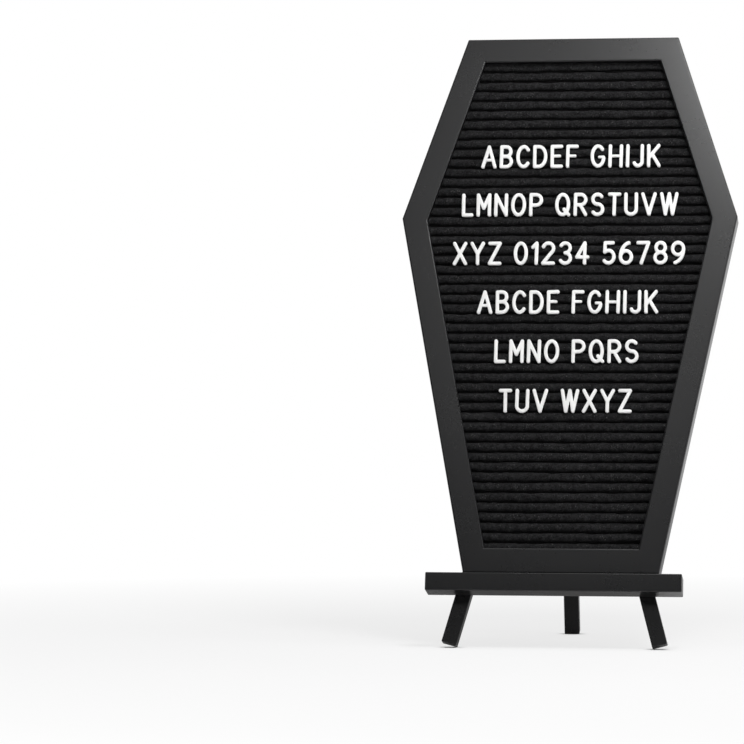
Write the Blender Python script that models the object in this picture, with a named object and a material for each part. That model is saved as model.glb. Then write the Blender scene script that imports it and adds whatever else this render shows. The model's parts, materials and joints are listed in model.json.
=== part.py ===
"""Felt letter board: a coffin-shaped framed board that leans on a folding stand.

Metres, +Z up. The board faces -Y and leans back towards +Y. The stand's feet are at z = 0, and
the origin is under the middle of the whole object.

Most pieces are placed in the slope frame, an empty that leans back with the board: X to the
right, Y backward through the board's thickness, Z up the slope. Its Y = 0 plane is the front of
the two front legs, and its Z = 0 line is near the floor.
"""
import math

import bmesh
import bpy
from mathutils import Matrix, Vector

MM = 0.001

# Frame of the board
BOARD_HEIGHT = 431.8 * MM
TOP_WIDTH = 166.5 * MM
WAIST_WIDTH = 262.5 * MM
BOTTOM_WIDTH = 150.0 * MM
WAIST_HEIGHT = 283.5 * MM
BOARD_DEPTH = 18.0 * MM
RAIL_WIDTH = 19.4 * MM
RAIL_ROUND = 1.2 * MM
LIP_DEPTH = 5.0 * MM
RABBET_WIDTH = 6.0 * MM

# Felt panel and backing
PANEL_DEPTH = 6.0 * MM
GROOVE_PITCH = 7.9375 * MM
GROOVE_WIDTH = 1.4 * MM
GROOVE_DEPTH = 3.2 * MM
GROOVE_ROUND = 0.9 * MM
GROOVE_MARGIN = 5.0 * MM
BACKING_DEPTH = 3.0 * MM

# Characters
LETTER_HEIGHT = 19.05 * MM
LETTER_STROKE = 2.7 * MM
LETTER_DEPTH = 2.0 * MM
LETTER_GAP = 2.4 * MM
WORD_GAP = 9.5 * MM
TAB_WIDTH = 2.4 * MM
TAB_THICKNESS = 0.8 * MM
TAB_REACH = 2.4 * MM
TEXT_ROWS = ("ABCDEF GHIJK", "LMNOP QRSTUVW", "XYZ 01234 56789")
GROOVE_COUNT_ABOVE_TEXT = 9
GROOVE_COUNT_PER_ROW = 5

# Stand
LEAN = math.radians(15.0)
SPLAY = math.radians(15.0)
OPENING = math.radians(30.0)
LEG_WIDTH = 12.0 * MM
LEG_DEPTH = 9.5 * MM
LEG_ROUND = 0.8 * MM
LEG_SPREAD = 141.5 * MM
STAND_HEIGHT = 302.0 * MM
LEDGE_LENGTH = 196.0 * MM
LEDGE_HEIGHT = 14.0 * MM
LEDGE_DEPTH = 20.5 * MM
LEDGE_ROUND = 0.8 * MM
LEDGE_LIFT = 41.0 * MM
STAND_OFFSET = 5.5 * MM

# Hinge of the rear leg
HINGE_WIDTH = 12.0 * MM
HINGE_HEIGHT = 17.0 * MM
HINGE_DROP = 16.0 * MM
LEAF_THICKNESS = 0.8 * MM
KNUCKLE_RADIUS = 2.0 * MM
KNUCKLE_GAP = 0.2 * MM
PIN_RADIUS = 1.1 * MM
PIN_HEAD_RADIUS = 1.7 * MM
PIN_HEAD_DEPTH = 0.6 * MM
PIN_CLEARANCE = 0.06 * MM

# Fasteners
HINGE_SCREW_RADIUS = 0.8 * MM
HINGE_SCREW_LENGTH = 7.0 * MM
HINGE_SCREW_SPACING = 8.4 * MM
LEDGE_SCREW_RADIUS = 1.3 * MM
LEDGE_SCREW_LENGTH = 22.0 * MM
NAIL_RADIUS = 0.6 * MM
NAIL_LENGTH = 7.0 * MM
HEAD_TO_SHANK = 2.1
HEAD_DEPTH_TO_SHANK = 0.85

# Sawtooth hanger
HANGER_LENGTH = 46.0 * MM
HANGER_HEIGHT = 8.0 * MM
HANGER_THICKNESS = 0.7 * MM
HANGER_BOW = 1.6 * MM
HANGER_END = 8.0 * MM
HANGER_RAMP = 2.0 * MM
TOOTH_COUNT = 9
TOOTH_DEPTH = 1.5 * MM

# Gap left between pieces that touch, and between the mitred ends of the rails
SEAT_GAP = 0.3 * MM
MITRE_GAP = 0.2 * MM

ROUND_STEPS = 3
CAP_STEP = math.radians(30.0)
ARC_STEP = math.radians(20.0)
PIN_SIDES = 24
SCREW_SIDES = 16
SMOOTH_ANGLE = math.radians(35.0)

# Worked out from the above
BOARD_BASE = LEDGE_LIFT + LEDGE_HEIGHT + SEAT_GAP
BOARD_BACK = -SEAT_GAP
BOARD_FRONT = BOARD_BACK - BOARD_DEPTH
FELT_FRONT = BOARD_FRONT + LIP_DEPTH + SEAT_GAP
BACKING_FRONT = FELT_FRONT + PANEL_DEPTH + SEAT_GAP
LEG_BACK = LEG_DEPTH
PIN_Y = LEG_BACK + SEAT_GAP + KNUCKLE_RADIUS
PIN_Z = STAND_HEIGHT - HINGE_DROP
REAR_LEAN = OPENING - LEAN


def clear_scene():
    for item in list(bpy.data.objects):
        bpy.data.objects.remove(item, do_unlink=True)


def material(name, color, roughness, metallic=0.0):
    made = bpy.data.materials.new(name)
    made.use_nodes = True
    shader = made.node_tree.nodes["Principled BSDF"]
    shader.inputs["Base Color"].default_value = (*color, 1.0)
    shader.inputs["Roughness"].default_value = roughness
    shader.inputs["Metallic"].default_value = metallic
    made.diffuse_color = (*color, 1.0)
    return made


def empty(name, parent=None, location=(0, 0, 0), turn_x=0.0):
    made = bpy.data.objects.new(name, None)
    bpy.context.scene.collection.objects.link(made)
    made.parent = parent
    made.location = location
    made.rotation_euler.x = turn_x
    return made


def mesh_from(name, bm):
    """Turns a bmesh into a mesh whose faces point outward."""
    bmesh.ops.recalc_face_normals(bm, faces=bm.faces)
    mesh = bpy.data.meshes.new(name)
    bm.to_mesh(mesh)
    bm.free()
    return mesh


def place(name, mesh, surface, parent, location=(0, 0, 0), rotation=(0, 0, 0)):
    piece = bpy.data.objects.new(name, mesh)
    bpy.context.scene.collection.objects.link(piece)
    piece.parent = parent
    piece.location = location
    piece.rotation_euler = rotation
    mesh.materials.clear()
    mesh.materials.append(surface)
    mesh.shade_smooth()
    mesh.set_sharp_from_angle(angle=SMOOTH_ANGLE)
    return piece


def loft(bm, loops):
    """Joins a row of closed loops of points, and closes both ends."""
    rings = [[bm.verts.new(point) for point in loop] for loop in loops]
    for near, far in zip(rings, rings[1:]):
        for i in range(len(near)):
            j = (i + 1) % len(near)
            bm.faces.new((near[i], near[j], far[j], far[i]))
    bm.faces.new(rings[0])
    bm.faces.new(rings[-1])


def prism(bm, outline, near, far, to_point):
    """A prism between two distances; to_point(u, v, distance) places an outline's point."""
    loft(bm, [[to_point(u, v, distance) for u, v in outline] for distance in (near, far)])


def along_x(u, v, distance):
    return (distance, u, v)


def along_y(u, v, distance):
    return (u, distance, v)


def along_z(u, v, distance):
    return (u, v, distance)


def box(bm, low, high):
    outline = [(low[0], low[2]), (high[0], low[2]), (high[0], high[2]), (low[0], high[2])]
    prism(bm, outline, low[1], high[1], along_y)


def circle(radius, sides, turn=0.0):
    angles = [2 * math.pi * (i + turn) / sides for i in range(sides)]
    return [(radius * math.cos(a), radius * math.sin(a)) for a in angles]


def rounded_rectangle(width, depth, radius):
    """Outline about the middle, with rounded corners."""
    points = []
    for quarter, (sx, sy) in enumerate(((1, 1), (-1, 1), (-1, -1), (1, -1))):
        centre_x = sx * (width / 2 - radius)
        centre_y = sy * (depth / 2 - radius)
        for step in range(ROUND_STEPS):
            angle = math.pi / 2 * (quarter + step / (ROUND_STEPS - 1))
            points.append((centre_x + radius * math.cos(angle), centre_y + radius * math.sin(angle)))
    return points


def turned(bm, profile, sides):
    """A solid of revolution about Z; the profile's first and last points are on the axis."""
    rings = [[bm.verts.new((x, y, z)) for x, y in circle(radius, sides)]
             for radius, z in profile[1:-1]]
    first = bm.verts.new((0, 0, profile[0][1]))
    last = bm.verts.new((0, 0, profile[-1][1]))
    for i in range(sides):
        j = (i + 1) % sides
        bm.faces.new((first, rings[0][i], rings[0][j]))
        bm.faces.new((last, rings[-1][j], rings[-1][i]))
        for upper, lower in zip(rings, rings[1:]):
            bm.faces.new((upper[i], lower[i], lower[j], upper[j]))


def keep_side(bm, point, normal):
    """Cuts away what lies beyond the plane, on its normal's side, and closes the cut."""
    geometry = bm.verts[:] + bm.edges[:] + bm.faces[:]
    cut = bmesh.ops.bisect_plane(bm, geom=geometry, plane_co=point, plane_no=normal,
                                 clear_outer=True, dist=0.000001)
    edges = [item for item in cut["geom_cut"] if isinstance(item, bmesh.types.BMEdge)]
    bmesh.ops.contextual_create(bm, geom=edges)


def cutter(name, mesh, parent, location, rotation):
    guide = bpy.data.objects.new(name, mesh)
    bpy.context.scene.collection.objects.link(guide)
    guide.parent = parent
    guide.location = location
    guide.rotation_euler = rotation
    guide.hide_render = True
    guide.display_type = "WIRE"
    return guide


def boolean(piece, other, operation="DIFFERENCE", use_self=False):
    """use_self also joins the piece's own shapes where they overlap."""
    change = piece.modifiers.new(other.name, "BOOLEAN")
    change.object = other
    change.operation = operation
    change.solver = "EXACT"
    change.use_self = use_self


def coffin(inset=0.0):
    """The board's six corners (x, z), clockwise from the top left, moved in by inset."""
    half_top, half_waist, half_bottom = TOP_WIDTH / 2, WAIST_WIDTH / 2, BOTTOM_WIDTH / 2
    corners = [Vector(c) for c in (
        (-half_top, BOARD_HEIGHT), (half_top, BOARD_HEIGHT), (half_waist, WAIST_HEIGHT),
        (half_bottom, 0.0), (-half_bottom, 0.0), (-half_waist, WAIST_HEIGHT))]
    moved = []
    for i, corner in enumerate(corners):
        before = (corner - corners[i - 1]).normalized()
        after = (corners[(i + 1) % len(corners)] - corner).normalized()
        inward_before = Vector((before.y, -before.x))
        inward_after = Vector((after.y, -after.x))
        middle = inward_before + inward_after
        moved.append(corner + middle * (inset / middle.dot(inward_before)))
    return [Vector((c.x, c.y + BOARD_BASE)) for c in moved]


def rail_profile():
    """Section of a rail: (distance in from the board's edge, depth behind the front face)."""
    inner, back, r = RAIL_WIDTH, BOARD_DEPTH, RAIL_ROUND
    points = []
    for step in range(ROUND_STEPS + 1):
        angle = math.pi / 2 * step / ROUND_STEPS
        points.append((r - r * math.cos(angle), r - r * math.sin(angle)))
    for step in range(ROUND_STEPS + 1):
        angle = math.pi / 2 * step / ROUND_STEPS
        points.append((inner - r + r * math.sin(angle), r - r * math.cos(angle)))
    points += [(inner, LIP_DEPTH), (inner - RABBET_WIDTH, LIP_DEPTH)]
    points += [(inner - RABBET_WIDTH, back), (0.0, back)]
    return points


def mitred_rail(name, index, surface, parent):
    """The rail between two corners of the coffin outline, cut at half of each corner's angle."""
    outer = coffin()
    profile = rail_profile()
    sections = {inset: coffin(inset) for inset, _ in profile}
    start, end = index, (index + 1) % len(outer)
    along = (outer[end] - outer[start]).normalized()
    bm = bmesh.new()
    loops = []
    for corner, neighbour, way in ((start, index - 1, 1), (end, (end + 1) % len(outer), -1)):
        side = (outer[neighbour] - outer[corner]).normalized()
        half_angle = (along * way).angle(side) / 2
        shift = along * way * (MITRE_GAP / 2 / math.sin(half_angle))
        loops.append([(sections[inset][corner].x + shift.x, BOARD_FRONT + depth,
                       sections[inset][corner].y + shift.y) for inset, depth in profile])
    loft(bm, loops)
    return place(name, mesh_from(name, bm), surface, parent)


def make_frame(surface, parent):
    names = ("top_rail", "upper_right_rail", "lower_right_rail",
             "bottom_rail", "lower_left_rail", "upper_left_rail")
    return {name: mitred_rail(name, i, surface, parent) for i, name in enumerate(names)}


def panel_corners():
    return coffin(RAIL_WIDTH - RABBET_WIDTH + SEAT_GAP)


def panel_half_width(z):
    top, waist, bottom = (panel_corners()[i] for i in (1, 2, 3))
    upper, lower = (top, waist) if z > waist.y else (waist, bottom)
    return lower.x + (upper.x - lower.x) * (z - lower.y) / (upper.y - lower.y)


def groove_heights():
    """Middles of the grooves, from the top down, evenly spread in the frame's opening."""
    opening = coffin(RAIL_WIDTH)
    top, bottom = opening[0].y, opening[3].y
    count = int((top - bottom - 2 * GROOVE_MARGIN) / GROOVE_PITCH) + 1
    first = (top + bottom) / 2 + (count - 1) * GROOVE_PITCH / 2
    return [first - i * GROOVE_PITCH for i in range(count)]


def make_felt_panel(surface, parent):
    """Ribs and grooves run the whole width; the sides follow the coffin outline."""
    top, waist, bottom = (panel_corners()[i].y for i in (1, 2, 3))
    floor = FELT_FRONT + GROOVE_DEPTH
    shoulder = FELT_FRONT + GROOVE_ROUND
    profile = [(top, FELT_FRONT)]
    for middle in groove_heights():
        upper, lower = middle + GROOVE_WIDTH / 2, middle - GROOVE_WIDTH / 2
        profile += [(upper + GROOVE_ROUND, FELT_FRONT), (upper, shoulder), (upper, floor),
                    (lower, floor), (lower, shoulder), (lower - GROOVE_ROUND, FELT_FRONT)]
    profile.append((bottom, FELT_FRONT))
    for i, (above, below) in enumerate(zip(profile, profile[1:])):
        if above[0] > waist > below[0]:
            share = (above[0] - waist) / (above[0] - below[0])
            profile.insert(i + 1, (waist, above[1] + share * (below[1] - above[1])))
            break
    back = [(height, FELT_FRONT + PANEL_DEPTH) for height in (top, waist, bottom)]
    bm = bmesh.new()
    sides = []
    for sign in (-1, 1):
        front_edge = [bm.verts.new((sign * panel_half_width(z), y, z)) for z, y in profile]
        back_edge = [bm.verts.new((sign * panel_half_width(z), y, z)) for z, y in back]
        at_waist = next(i for i, (z, _) in enumerate(profile) if abs(z - waist) < SEAT_GAP / 1000)
        bm.faces.new(front_edge[:at_waist + 1] + [back_edge[1], back_edge[0]])
        bm.faces.new(front_edge[at_waist:] + [back_edge[2], back_edge[1]])
        sides.append((front_edge, back_edge))
    for left, right in zip(*sides):
        for i in range(len(left) - 1):
            bm.faces.new((left[i], left[i + 1], right[i + 1], right[i]))
    (front_left, back_left), (front_right, back_right) = sides
    for end in (0, -1):
        bm.faces.new((front_left[end], back_left[end], back_right[end], front_right[end]))
    return place("felt_panel", mesh_from("felt_panel", bm), surface, parent)


def make_backing(surface, parent):
    bm = bmesh.new()
    outline = [(c.x, c.y) for c in panel_corners()]
    prism(bm, outline, BACKING_FRONT, BACKING_FRONT + BACKING_DEPTH, along_y)
    return place("backing_board", mesh_from("backing_board", bm), surface, parent)


def line(x0, z0, x1, z1):
    return [(x0, z0), (x1, z1)]


def arc(cx, cz, rx, rz, start, end):
    """Points of an elliptic arc between two angles in degrees."""
    first, last = math.radians(start), math.radians(end)
    steps = max(2, round(abs(last - first) / ARC_STEP))
    angles = [first + (last - first) * i / steps for i in range(steps + 1)]
    return [(cx + rx * math.cos(a), cz + rz * math.sin(a)) for a in angles]


def ring(cx, cz, rx, rz):
    """A closed stroke: its last point is its first."""
    return arc(cx, cz, rx, rz, 0, 360)


# Each character: width, x of its upper and lower tab, and the middle lines of its strokes.
# The unit is the height between the middle lines of a top and a bottom stroke.
CHARACTERS = {
    "A": (0.58, 0.29, 0.0, [line(0, 0, 0.29, 1), line(0.58, 0, 0.29, 1), line(0.1, 0.34, 0.48, 0.34)]),
    "B": (0.48, 0.0, 0.0, [line(0, 0, 0, 1),
                           [(0, 1)] + arc(0.23, 0.76, 0.21, 0.24, 90, -90) + [(0, 0.52)],
                           [(0, 0.52)] + arc(0.22, 0.26, 0.26, 0.26, 90, -90) + [(0, 0)]]),
    "C": (0.50, 0.28, 0.28, [arc(0.28, 0.5, 0.28, 0.5, 42, 318)]),
    "D": (0.53, 0.0, 0.0, [line(0, 0, 0, 1),
                           [(0, 1)] + arc(0.20, 0.5, 0.33, 0.5, 90, -90) + [(0, 0)]]),
    "E": (0.44, 0.0, 0.0, [line(0, 0, 0, 1), line(0, 1, 0.44, 1), line(0, 0.52, 0.37, 0.52),
                           line(0, 0, 0.44, 0)]),
    "F": (0.43, 0.0, 0.0, [line(0, 0, 0, 1), line(0, 1, 0.43, 1), line(0, 0.52, 0.35, 0.52)]),
    "G": (0.55, 0.28, 0.28, [arc(0.28, 0.5, 0.28, 0.5, 42, 347), line(0.34, 0.45, 0.55, 0.45)]),
    "H": (0.53, 0.0, 0.53, [line(0, 0, 0, 1), line(0.53, 0, 0.53, 1), line(0, 0.5, 0.53, 0.5)]),
    "I": (0.0, 0.0, 0.0, [line(0, 0, 0, 1)]),
    "J": (0.38, 0.38, 0.19, [[(0.38, 1)] + arc(0.19, 0.21, 0.19, 0.21, 0, -160)]),
    "K": (0.50, 0.0, 0.0, [line(0, 0, 0, 1), line(0.48, 1, 0.0, 0.38), line(0.16, 0.59, 0.5, 0)]),
    "L": (0.40, 0.0, 0.2, [line(0, 0, 0, 1), line(0, 0, 0.4, 0)]),
    "M": (0.54, 0.0, 0.54, [line(0, 0, 0, 1), line(0.54, 0, 0.54, 1), line(0, 1, 0.27, 0.35),
                            line(0.54, 1, 0.27, 0.35)]),
    "N": (0.50, 0.0, 0.5, [line(0, 0, 0, 1), line(0.5, 0, 0.5, 1), line(0, 1, 0.5, 0)]),
    "O": (0.56, 0.28, 0.28, [ring(0.28, 0.5, 0.28, 0.5)]),
    "P": (0.50, 0.0, 0.0, [line(0, 0, 0, 1),
                           [(0, 1)] + arc(0.24, 0.74, 0.26, 0.26, 90, -90) + [(0, 0.48)]]),
    "Q": (0.58, 0.28, 0.28, [ring(0.28, 0.5, 0.28, 0.5), line(0.36, 0.26, 0.58, 0)]),
    "R": (0.50, 0.0, 0.0, [line(0, 0, 0, 1),
                           [(0, 1)] + arc(0.23, 0.74, 0.26, 0.26, 90, -90) + [(0, 0.48)],
                           line(0.23, 0.48, 0.5, 0)]),
    "S": (0.50, 0.25, 0.25, [arc(0.25, 0.755, 0.23, 0.245, 35, 270)
                             + arc(0.25, 0.255, 0.25, 0.255, 90, -145)[1:]]),
    "T": (0.48, 0.24, 0.24, [line(0, 1, 0.48, 1), line(0.24, 1, 0.24, 0)]),
    "U": (0.50, 0.0, 0.25, [[(0, 1)] + arc(0.25, 0.25, 0.25, 0.25, 180, 360) + [(0.5, 1)]]),
    "V": (0.58, 0.0, 0.29, [line(0, 1, 0.29, 0), line(0.58, 1, 0.29, 0)]),
    "W": (0.72, 0.0, 0.19, [line(0, 1, 0.19, 0), line(0.36, 1, 0.19, 0), line(0.36, 1, 0.53, 0),
                            line(0.72, 1, 0.53, 0)]),
    "X": (0.53, 0.0, 0.53, [line(0, 1, 0.53, 0), line(0.53, 1, 0, 0)]),
    "Y": (0.54, 0.0, 0.27, [line(0, 1, 0.27, 0.48), line(0.54, 1, 0.27, 0.48),
                            line(0.27, 0.48, 0.27, 0)]),
    "Z": (0.49, 0.24, 0.24, [line(0, 1, 0.49, 1), line(0.49, 1, 0, 0), line(0, 0, 0.49, 0)]),
    "0": (0.52, 0.26, 0.26, [ring(0.26, 0.5, 0.26, 0.5)]),
    "1": (0.18, 0.18, 0.18, [line(0.18, 0, 0.18, 1), line(0.18, 1, 0, 0.8)]),
    "2": (0.50, 0.25, 0.25, [arc(0.25, 0.74, 0.25, 0.26, 160, -35) + [(0, 0)], line(0, 0, 0.5, 0)]),
    "3": (0.50, 0.25, 0.25, [arc(0.25, 0.755, 0.23, 0.245, 150, -90),
                             arc(0.25, 0.255, 0.25, 0.255, 90, -150)]),
    "4": (0.52, 0.37, 0.37, [line(0.37, 1, 0, 0.3), line(0, 0.3, 0.52, 0.3), line(0.37, 1, 0.37, 0)]),
    "5": (0.50, 0.26, 0.24, [line(0.08, 1, 0.45, 1), line(0.08, 1, 0.06, 0.55),
                             arc(0.24, 0.31, 0.26, 0.31, 130, -140)]),
    "6": (0.52, 0.40, 0.26, [ring(0.26, 0.3, 0.26, 0.3), arc(0.46, 0.3, 0.46, 0.7, 98, 180)]),
    "7": (0.50, 0.25, 0.16, [line(0, 1, 0.5, 1), line(0.5, 1, 0.16, 0)]),
    "8": (0.52, 0.26, 0.26, [ring(0.26, 0.76, 0.22, 0.24), ring(0.26, 0.26, 0.26, 0.26)]),
    "9": (0.52, 0.26, 0.12, [ring(0.26, 0.7, 0.26, 0.3), arc(0.06, 0.7, 0.46, 0.7, 0, -82)]),
}


def side_points(path, half, closed):
    """The path moved half to its left and half to its right."""
    left, right = [], []
    for i, point in enumerate(path):
        before = path[i - 1] if i or closed else point
        after = path[(i + 1) % len(path)] if i + 1 < len(path) or closed else point
        way = (after - before).normalized()
        across = Vector((-way.y, way.x)) * half
        left.append(point + across)
        right.append(point - across)
    return left, right


def round_end(middle, start, half):
    """Half a circle from the point start, clockwise round the middle."""
    first = math.atan2(start.y - middle.y, start.x - middle.x)
    steps = round(math.pi / CAP_STEP)
    angles = [first - math.pi * i / steps for i in range(1, steps)]
    return [middle + Vector((math.cos(a), math.sin(a))) * half for a in angles]


def stroke_solid(bm, path, half, near, far):
    """One stroke of a character, as a flat bar with round ends or as a closed ring."""
    closed = (path[0] - path[-1]).length < half / 1000
    if closed:
        path = path[:-1]
        left, right = side_points(path, half, True)
        loops = [[along_y(p.x, p.y, y) for p in side] for side, y in
                 ((left, near), (right, near), (right, far), (left, far))]
        rings = [[bm.verts.new(point) for point in loop] for loop in loops]
        for a, b in zip(rings, rings[1:] + rings[:1]):
            for i in range(len(a)):
                j = (i + 1) % len(a)
                bm.faces.new((a[i], a[j], b[j], b[i]))
        return
    left, right = side_points(path, half, False)
    outline = left + round_end(path[-1], left[-1], half)
    outline += right[::-1] + round_end(path[0], right[0], half)
    prism(bm, outline, near, far, along_y)


def character_mesh(name, character):
    """Strokes and the two tabs behind them, joined into one solid about its own middle."""
    width, upper_tab, lower_tab, strokes = CHARACTERS[character]
    unit = LETTER_HEIGHT - LETTER_STROKE
    bm = bmesh.new()
    for stroke in strokes:
        path = [Vector((x - width / 2, z - 0.5)) * unit for x, z in stroke]
        stroke_solid(bm, path, LETTER_STROKE / 2, -LETTER_DEPTH, 0.0)
    strokes_only = bpy.data.objects.new(name + "_strokes", mesh_from(name + "_strokes", bm))
    bm = bmesh.new()
    reach = SEAT_GAP + TAB_REACH
    for x, side in ((upper_tab, 1), (lower_tab, -1)):
        middle = (x - width / 2) * unit
        height = side * GROOVE_PITCH
        box(bm, (middle - TAB_WIDTH / 2, -LETTER_DEPTH / 2, height - TAB_THICKNESS / 2),
            (middle + TAB_WIDTH / 2, reach, height + TAB_THICKNESS / 2))
    tabs = bpy.data.objects.new(name + "_tabs", mesh_from(name + "_tabs", bm))
    for piece in (strokes_only, tabs):
        bpy.context.scene.collection.objects.link(piece)
    boolean(strokes_only, tabs, "UNION", use_self=True)
    flat = strokes_only.modifiers.new("merge flat faces", "DECIMATE")
    flat.decimate_type = "DISSOLVE"
    flat.angle_limit = math.radians(1.0)
    graph = bpy.context.evaluated_depsgraph_get()
    mesh = bpy.data.meshes.new_from_object(strokes_only.evaluated_get(graph))
    for piece in (strokes_only, tabs):
        bpy.data.objects.remove(piece, do_unlink=True)
    return mesh


def advance(character):
    return CHARACTERS[character][0] * (LETTER_HEIGHT - LETTER_STROKE) + LETTER_STROKE


def row_places(text):
    """(character, x of its middle) along a row that is centred on the board."""
    places = []
    x = 0.0
    for character in text:
        if character == " ":
            x += WORD_GAP - LETTER_GAP
            continue
        places.append((character, x + advance(character) / 2))
        x += advance(character) + LETTER_GAP
    width = x - LETTER_GAP
    return [(character, middle - width / 2) for character, middle in places]


def make_characters(surface, parent):
    heights = groove_heights()
    for row, text in enumerate(TEXT_ROWS):
        height = heights[GROOVE_COUNT_ABOVE_TEXT + row * GROOVE_COUNT_PER_ROW]
        for character, x in row_places(text):
            name = ("digit_" if character.isdigit() else "letter_") + character
            place(name, character_mesh(name, character), surface, parent,
                  (x, FELT_FRONT - SEAT_GAP, height))


def fastener_profile(radius, length):
    head_radius = radius * HEAD_TO_SHANK
    head_depth = radius * HEAD_DEPTH_TO_SHANK
    return [(0, head_depth), (head_radius * 0.6, head_depth * 0.9), (head_radius, head_depth * 0.4),
            (head_radius, 0), (radius, 0), (radius, radius * 1.5 - length), (0, -length)]


def fastener(name, surface, parent, location, turn_x, radius, length, through=()):
    """A round-headed screw or nail along its own Z, head up, and its holes in other pieces.

    The location is the seat of its head, and turn_x points its head away from the wood.
    """
    bm = bmesh.new()
    turned(bm, fastener_profile(radius, length), SCREW_SIDES)
    rotation = (turn_x, 0, 0)
    made = place(name, mesh_from(name, bm), surface, parent, location, rotation)
    bm = bmesh.new()
    bore = radius + SEAT_GAP
    turned(bm, [(0, radius), (bore, radius), (bore, -length - SEAT_GAP), (0, -length - SEAT_GAP)],
           SCREW_SIDES)
    hole = cutter("hole_for_" + name, mesh_from("hole_for_" + name, bm), parent, location, rotation)
    for piece in through:
        boolean(piece, hole)
    return made


def make_hanger(surface, parent):
    """A strip with teeth along its lower edge, bowed away from the rail between its ends."""
    half = HANGER_LENGTH / 2
    flat_from = half - HANGER_END
    bowed_to = flat_from - HANGER_RAMP
    top = BOARD_BASE + BOARD_HEIGHT - (RAIL_WIDTH - RABBET_WIDTH - HANGER_HEIGHT) / 2
    bottom = top - HANGER_HEIGHT
    pitch = 2 * bowed_to / TOOTH_COUNT
    stations = [(-half, bottom, 0.0), (-flat_from, bottom, 0.0), (-bowed_to, bottom, HANGER_BOW)]
    for tooth in range(TOOTH_COUNT):
        left = -bowed_to + tooth * pitch
        stations.append((left + pitch / 2, bottom + TOOTH_DEPTH, HANGER_BOW))
        stations.append((left + pitch, bottom, HANGER_BOW))
    stations += [(flat_from, bottom, 0.0), (half, bottom, 0.0)]
    seat = BOARD_BACK + SEAT_GAP
    bm = bmesh.new()
    loft(bm, [[(x, seat + bow, z), (x, seat + bow, top), (x, seat + bow + HANGER_THICKNESS, top),
               (x, seat + bow + HANGER_THICKNESS, z)] for x, z, bow in stations])
    return place("sawtooth_hanger", mesh_from("sawtooth_hanger", bm), surface, parent)


def make_front_leg(name, side, surface, parent):
    """side is -1 for the left leg. Its own Z runs up the leg from the middle of its foot."""
    outline = rounded_rectangle(LEG_WIDTH, LEG_DEPTH, LEG_ROUND)
    # The end is square to the leg, so the corner nearest the middle and the back stands lowest
    drop = max(u * math.sin(SPLAY) * math.cos(LEAN) + v * math.sin(LEAN) for u, v in outline)
    foot_z = (drop + LEG_DEPTH / 2 * math.sin(LEAN)) / math.cos(LEAN)
    foot_x = LEG_SPREAD / 2 + (LEDGE_LIFT - foot_z) * math.tan(SPLAY)
    length = (STAND_HEIGHT - foot_z) / math.cos(SPLAY) + LEG_WIDTH
    location = Vector((side * foot_x, LEG_DEPTH / 2, foot_z))
    rotation = (0, -side * SPLAY, 0)
    bm = bmesh.new()
    prism(bm, outline, 0.0, length, along_z)
    to_slope = Matrix.Translation(location) @ Matrix.Rotation(rotation[1], 4, "Y")
    bm.transform(to_slope)
    keep_side(bm, (side * SEAT_GAP / 2, 0, 0), (-side, 0, 0))
    keep_side(bm, (0, 0, STAND_HEIGHT), (0, 0, 1))
    bm.transform(to_slope.inverted())
    return place(name, mesh_from(name, bm), surface, parent, location, rotation)


def make_ledge(surface, parent):
    outline = rounded_rectangle(LEDGE_DEPTH, LEDGE_HEIGHT, LEDGE_ROUND)
    bm = bmesh.new()
    prism(bm, outline, -LEDGE_LENGTH / 2, LEDGE_LENGTH / 2, along_x)
    return place("ledge", mesh_from("ledge", bm), surface, parent,
                 (0, -SEAT_GAP - LEDGE_DEPTH / 2, LEDGE_LIFT + LEDGE_HEIGHT / 2))


def make_rear_leg(surface, pivot):
    """In the pivot's frame: its front face is just behind the rear leaf, and it runs down -Z."""
    front = KNUCKLE_RADIUS + SEAT_GAP
    outline = rounded_rectangle(LEG_WIDTH, LEG_DEPTH, LEG_ROUND)
    drop = max(-v * math.sin(REAR_LEAN) for _, v in outline)
    pin_height = PIN_Z * math.cos(LEAN) - PIN_Y * math.sin(LEAN)
    middle_y = front + LEG_DEPTH / 2
    # Height of the foot's middle over the floor, then the length that reaches it from the pin
    length = (pin_height - drop + middle_y * math.sin(REAR_LEAN)) / math.cos(REAR_LEAN)
    bm = bmesh.new()
    prism(bm, outline, -length, HINGE_DROP, along_z)
    bmesh.ops.translate(bm, vec=(0, middle_y, 0), verts=bm.verts)
    # The bevel at the top lies on the backs of the front legs when the stand is open
    close = Matrix.Rotation(-OPENING, 3, "X")
    keep_side(bm, close @ Vector((0, -KNUCKLE_RADIUS, 0)), close @ Vector((0, -1, 0)))
    return place("rear_leg", mesh_from("rear_leg", bm), surface, pivot)


def knuckle_spans():
    """The three knuckles along X: the outer two are the front leaf's."""
    span = (HINGE_WIDTH - 2 * KNUCKLE_GAP) / 3
    starts = [-HINGE_WIDTH / 2 + i * (span + KNUCKLE_GAP) for i in range(3)]
    return [(start, start + span) for start in starts]


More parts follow.
